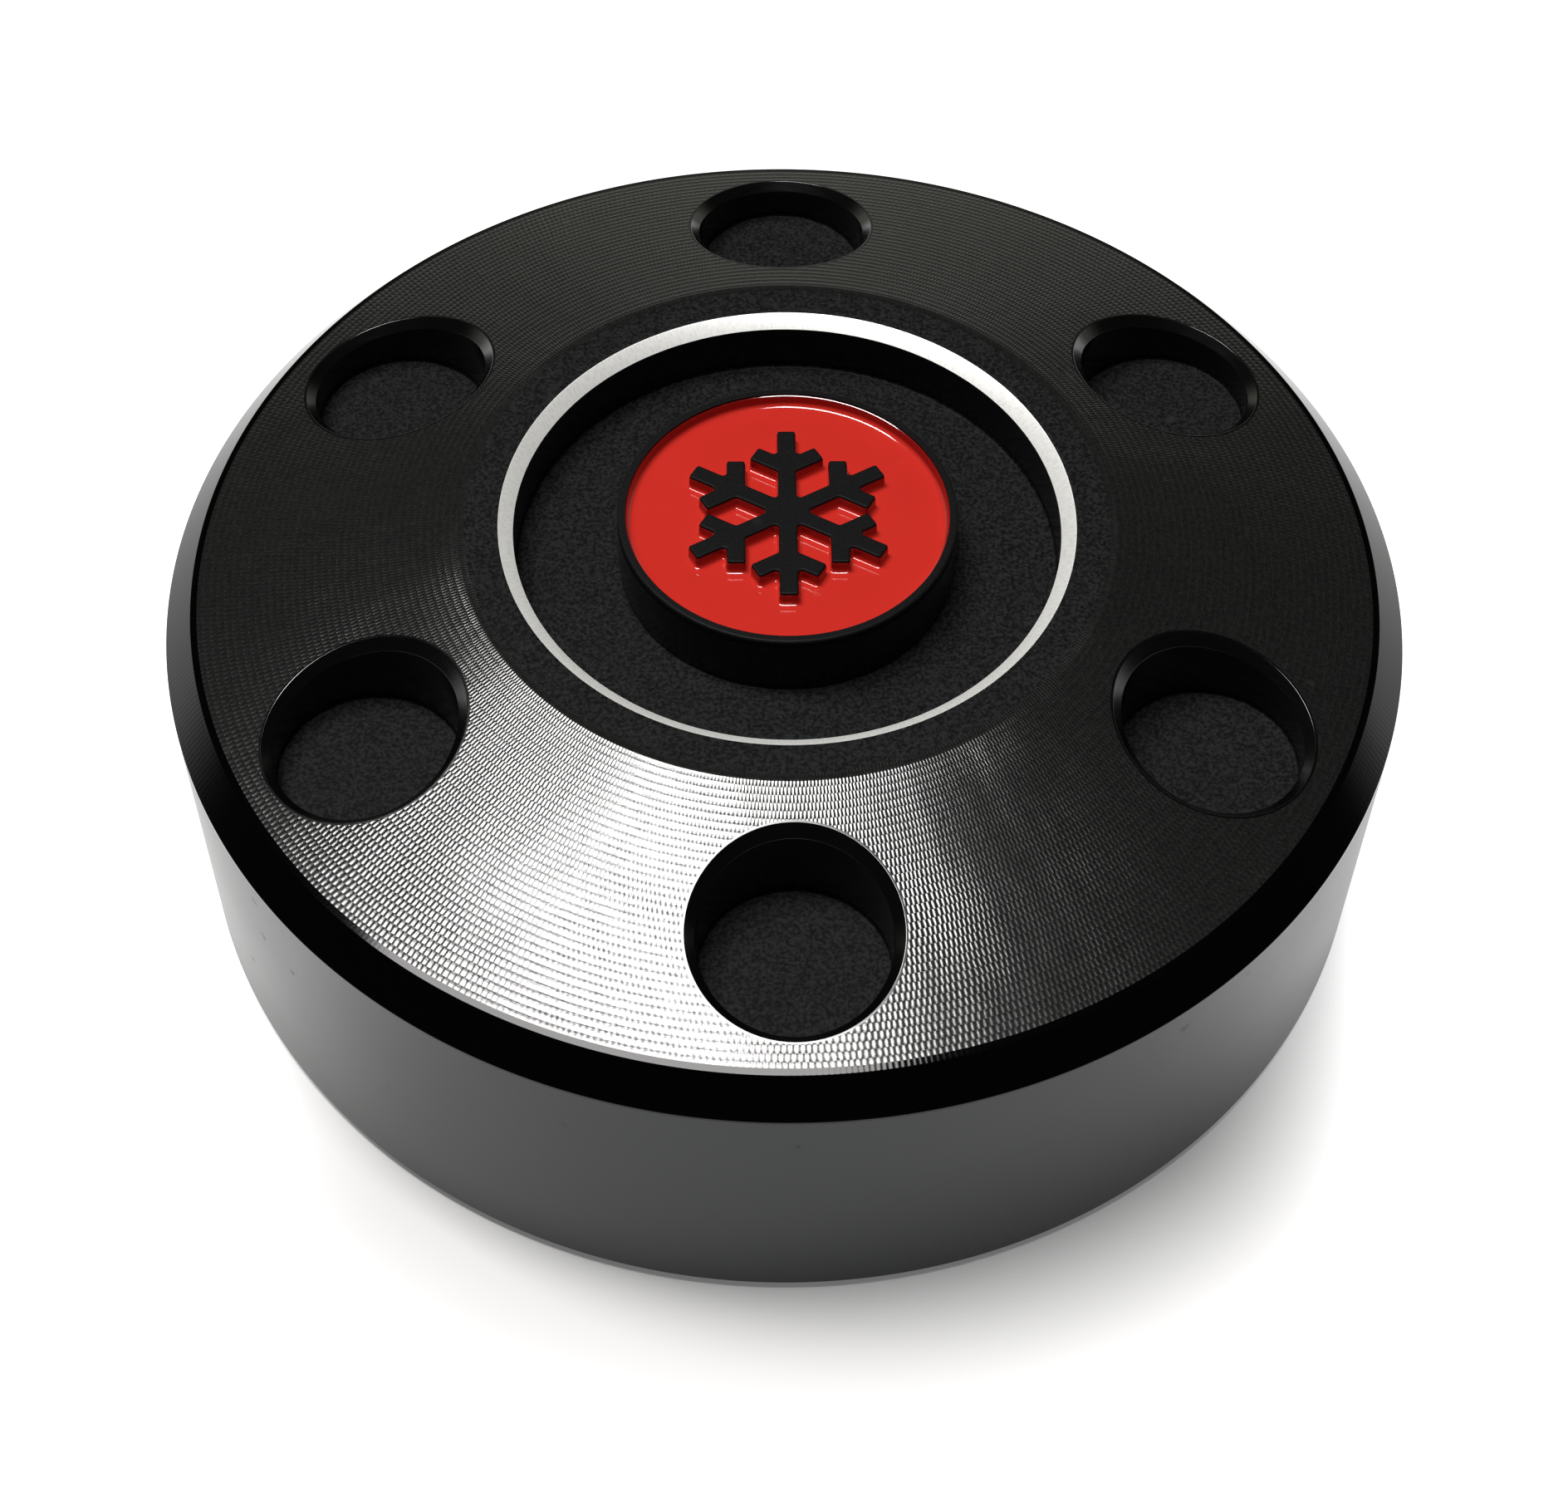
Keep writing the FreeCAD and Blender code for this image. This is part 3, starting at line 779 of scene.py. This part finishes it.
def emblem_boss():
    """Boss with a thin rim, a pool and a raised snowflake in it, and a spigot and two blind holes below."""
    black, bored = emblem_black_finish(), bored_finish()
    boss = Piece("emblem_boss_turned", "emblem_black", "emblem_boss")
    under_in, under_out = SPIGOT_R + HOLE_LAP, BOSS_R - FOOT_LAP
    wall_foot, wall_top = (BOSS_R, RECESS_FLOOR_Z + WALL_LAP), (BOSS_R, TOP_Z - BOSS_LAP)
    foot = [(under_out, RECESS_FLOOR_Z), (BOSS_R, RECESS_FLOOR_Z), wall_foot]
    boss.turned(rounded(foot, FOOT_ROUND), bored)
    boss.turned([wall_foot, wall_top], bored)
    boss.turned(rounded([wall_top, (BOSS_R, TOP_Z), (POOL_R, TOP_Z)], BOSS_EDGE_ROUND, BOSS_ARC_STEPS), black)
    boss.turned([(POOL_R, TOP_Z), (POOL_R, POOL_FLOOR_Z)], black)
    pool_sheets(boss, POOL_FLOOR_Z, POOL_R, 0.0, black)

    # Snowflake: upright sides, an edge rounded through a quarter turn, and a flat top.
    turn = np.linspace(0, math.pi / 2, ARC_STEPS + 1)
    inward, drop = MARK_EDGE_ROUND * (1 - np.cos(turn)), MARK_EDGE_ROUND * (1 - np.sin(turn))
    edge = list(zip(-inward, TOP_Z - drop))
    below = (0.0, TOP_Z - 2 * MARK_EDGE_ROUND)
    island = snowflake_rows([(0.0, POOL_FLOOR_Z), below, *edge, (-1.5 * MARK_EDGE_ROUND, TOP_Z)])
    boss.rows(island, black)
    boss.cap(island[-1], black)

    # Underside, dowel hole, and spigot with its tapped hole.
    boss.pierced_ring(
        under_in, under_out, DOWEL_PITCH_R, DOWEL_R, level(RECESS_FLOOR_Z), black, holes=[DOWEL_PLACE])
    boss.hole(
        under_in, under_out, DOWEL_PITCH_R, place_angle(DOWEL_PLACE),
        [(DOWEL_R, RECESS_FLOOR_Z), (DOWEL_R, DOWEL_TOP_Z), (0, DOWEL_TOP_Z)], black)
    boss.turned([
        (under_in, RECESS_FLOOR_Z), (SPIGOT_R, RECESS_FLOOR_Z), (SPIGOT_R, SPIGOT_BOTTOM_Z),
        (EMBLEM_TAP_R, SPIGOT_BOTTOM_Z), (EMBLEM_TAP_R, EMBLEM_TAP_TOP_Z), (0, EMBLEM_TAP_TOP_Z)], black)
    boss.finish()


def meniscus(start, climb, fade, reach):
    """Points (distance from a wall, height) of the enamel drawn up it.

    Height = level + climb exp(-(distance - start) / fade), and the last two points lie on the level itself.
    """
    away = start + (reach - start) * np.linspace(0, 1, MENISCUS_STEPS + 1) ** 1.5
    z = ENAMEL_Z + climb * np.exp((start - away) / fade)
    z[-2:] = ENAMEL_Z
    return list(zip(away, z))


def emblem_enamel():
    """Enamel in the pool: level in the middle, drawn up in a small fillet at the snowflake and the rim."""
    red = enamel_finish()
    enamel = Piece("emblem_enamel_poured", "red_enamel", "emblem_enamel")
    lip = [(share * COAT, COAT_TOP_Z - drop) for share, drop in LIP]
    island = [(SLIM * inward, z) for inward, z in lip]
    island += meniscus(SLIM * COAT, MARK_CLIMB, MARK_FADE, MARK_REACH)
    rim = lip + meniscus(COAT, RIM_CLIMB, RIM_FADE, RIM_REACH)
    enamel.rows(snowflake_rows([(0.0, POOL_FLOOR_Z), *island]), red)
    enamel.turned([(POOL_R, POOL_FLOOR_Z), *((POOL_R - inward, z) for inward, z in rim)], red)
    pool_sheets(enamel, ENAMEL_Z, POOL_R - rim[-1][0], island[-1][0], red)
    pool_sheets(enamel, POOL_FLOOR_Z, POOL_R, 0.0, red)
    enamel.finish()


def repaint(node, finish):
    """A CAD node keeps its shape and gets a new finish."""
    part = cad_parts[node]
    for slot in part.material_slots:
        slot.material = finish


def repaint_cad_nodes():
    """Finishes of the pieces that keep their CAD shapes."""
    plate = base_plate_finish()
    black_screw = steel_finish("black oxide steel", (0.055, 0.055, 0.058), 0.34)
    plated = steel_finish("zinc plated steel", (0.62, 0.62, 0.60), 0.26)
    nylon = soft_finish("glide off-white", (0.55, 0.54, 0.50), (0.66, 0.65, 0.61), 0.38, 0.35)
    rubber = soft_finish("core rubber", (0.016, 0.016, 0.017), (0.030, 0.030, 0.031), 0.62, 0.5)
    seal = soft_finish("seal rubber", (0.012, 0.012, 0.012), (0.022, 0.022, 0.022), 0.48, 0.25)
    repaint("base_plate", plate)
    repaint("emblem_dowel", steel_finish("ground pin steel", (0.66, 0.66, 0.67), 0.18))
    repaint("emblem_washer", plated)
    repaint("emblem_screw", plated)
    repaint("core_ring", rubber)
    repaint("base_seal", seal)
    for number in range(1, REPEAT + 1):
        repaint(f"base_screw_{number}", black_screw)
        repaint(f"glide_{number}", nylon)


# ---------------------------------------------------------------- studio


# Places and sizes in metres, but the radii of the table's painted shadow and painted light in millimetres.
TABLE_HALF = 6.0
TABLE_Z = -0.00001
# The table's emission is a painted shadow round the puck's foot and painted light beside its flanks.
PAINTED_SHADOW_GLOW_AT_FOOT, GLOW_RISE_OUT_OF_PAINTED_SHADOW, PAINTED_LIGHT_BESIDE_FLANKS = 0.13, 0.53, 0.45
PAINTED_SHADOW_START_R = SHELL_R - 2
PAINTED_SHADOW_WIDTH_BESIDE, PAINTED_SHADOW_WIDTH_IN_FRONT = 4.0, 20.0
PAINTED_FLANK_LIGHT_FADE_R = (50.0, 90.0)
TABLE_FADE_R = (170.0, 420.0)
SOFTBOX_PLACE = (-0.19, 0.07, 1.10)
SOFTBOX_AIM = (0, 0, 0.02)
SOFTBOX_ALONG = (0.83, -0.56, 0)
SOFTBOX_WIDTH, SOFTBOX_HEIGHT = 0.68, 0.26
SOFTBOX_WATTS = 14.0
ROOM_DIM, ROOM_PALE = 0.012, 0.5
SOFTBOX_COLOUR = (1.0, 0.985, 0.975)
ROOM_COLOUR = (1.0, 1.0, 0.88)
CAMERA_PLACE = (-0.002939, -0.113042, 0.151657)
CAMERA_AIM = (0.02699681, 0.62931158, -0.77668405)
CAMERA_ROLL_DEG = 1.579
CAMERA_LENS = 64.18
CAMERA_SENSOR = 36.0
CAMERA_SHIFT = (-0.02, -0.06)
CAMERA_NEAR = 0.005


def table_top():
    """Matte white floor, wide enough for its edge to stay out of sight, and clear when seen from below.

    It glows a little, which is painted light, and its emission paints a contact shadow: weakest against the
    foot of the puck, over a wider ring in front of it than at its flanks; strongest just beside the flanks,
    as painted light; and fading out far from the puck.
    """
    f = Finish("white table with painted shadow and painted light", IOR=1.45, Emission_Strength=1.0)
    x, y, z = f.xyz()
    r, angle, z = f.polar()
    front = (0 - y / r).between(0.25, 0.95)
    sideways = x / r
    # Painted light: emission strongest just beside the puck's flanks.
    flank = (sideways * sideways).between(0.35, 0.95) * (1 - r.between(*PAINTED_FLANK_LIGHT_FADE_R))
    width = front * (PAINTED_SHADOW_WIDTH_IN_FRONT - PAINTED_SHADOW_WIDTH_BESIDE) + PAINTED_SHADOW_WIDTH_BESIDE
    # Painted contact shadow: emission lowest at the puck's foot, rising over a wider ring in front than
    # beside it.
    painted_shade_glow = ((r - PAINTED_SHADOW_START_R) / width).between(0.0, 1.0) * GLOW_RISE_OUT_OF_PAINTED_SHADOW + PAINTED_SHADOW_GLOW_AT_FOOT
    painted_shade_glow = (painted_shade_glow + flank * PAINTED_LIGHT_BESIDE_FLANKS) * (1 - r.between(*TABLE_FADE_R))
    f.feed("Emission Color", f.blend(painted_shade_glow, (0.0, 0.0, 0.0), (1.0, 1.0, 1.0)))
    f.feed("Roughness", 0.55 + f.noise(0.05) * 0.1)
    f.feed("Alpha", 1 - f.add("ShaderNodeNewGeometry", {}, {}, "Backfacing"))
    f.feed("Base Color", f.blend(f.noise(0.004, 2.0), (0.60, 0.60, 0.60), (0.63, 0.63, 0.63)))
    mesh = bpy.data.meshes.new("table_top")
    corner = np.array([(-1, -1), (1, -1), (1, 1), (-1, 1)]) * TABLE_HALF
    mesh.from_pydata(at_height(corner, TABLE_Z), [], [(0, 1, 2, 3)])
    mesh.materials.append(f.material)
    top = bpy.data.objects.new("table_top", mesh)
    bpy.context.scene.collection.objects.link(top)


def placed(thing, place, turn):
    """Puts an object in the scene at a place in metres, with the columns of turn as its axes."""
    thing.matrix_world = Matrix.Translation(place) @ Matrix(turn.tolist()).to_4x4()
    bpy.context.scene.collection.objects.link(thing)


def softbox():
    """Rectangular light that faces the puck, with its width along a direction."""
    light = bpy.data.lights.new("overhead softbox", "AREA")
    light.shape = "RECTANGLE"
    light.size, light.size_y = SOFTBOX_WIDTH, SOFTBOX_HEIGHT
    light.energy, light.color = SOFTBOX_WATTS, SOFTBOX_COLOUR
    away = unit(np.array(SOFTBOX_PLACE) - np.array(SOFTBOX_AIM))
    side = unit(np.array(SOFTBOX_ALONG) - np.dot(SOFTBOX_ALONG, away) * away)
    lamp = bpy.data.objects.new("overhead softbox", light)
    placed(lamp, SOFTBOX_PLACE, np.stack([side, np.cross(away, side), away], 1))


def surroundings():
    """Room light: a pale band low down at the back, and almost dark elsewhere."""
    world = bpy.data.worlds.new("studio room")
    bpy.context.scene.world = world
    world.use_nodes = True
    room = Nodes(world.node_tree)
    x, y, z = room.parts(room.add("ShaderNodeTexCoord", {}, {}, "Generated"))
    horizon = 1 - z.between(0.0, 0.40)
    back = y.between(0.10, 0.65)
    strength = ROOM_DIM + horizon * back * ROOM_PALE
    light = room.add("ShaderNodeBackground", {}, {"Color": opaque(ROOM_COLOUR), "Strength": strength})
    output = room.tree.nodes.new("ShaderNodeOutputWorld")
    room.tree.links.new(light.socket, output.inputs["Surface"])


def viewpoint():
    """Camera that looks down on the crown from the front, turned a little about its line of sight."""
    data = bpy.data.cameras.new("viewpoint")
    data.lens, data.sensor_width = CAMERA_LENS, CAMERA_SENSOR
    data.shift_x, data.shift_y = CAMERA_SHIFT
    data.clip_start = CAMERA_NEAR
    ahead = np.array(CAMERA_AIM)
    level_right = unit(np.cross(ahead, (0.0, 0.0, 1.0)))
    level_up = np.cross(level_right, ahead)
    roll = math.radians(CAMERA_ROLL_DEG)
    right = level_right * math.cos(roll) + level_up * math.sin(roll)
    camera = bpy.data.objects.new("viewpoint", data)
    placed(camera, CAMERA_PLACE, np.stack([right, np.cross(right, ahead), -ahead], 1))
    bpy.context.scene.camera = camera


puck_shell()
emblem_boss()
emblem_enamel()
repaint_cad_nodes()
table_top()
softbox()
surroundings()
viewpoint()
bpy.context.scene.view_settings.view_transform = "Standard"
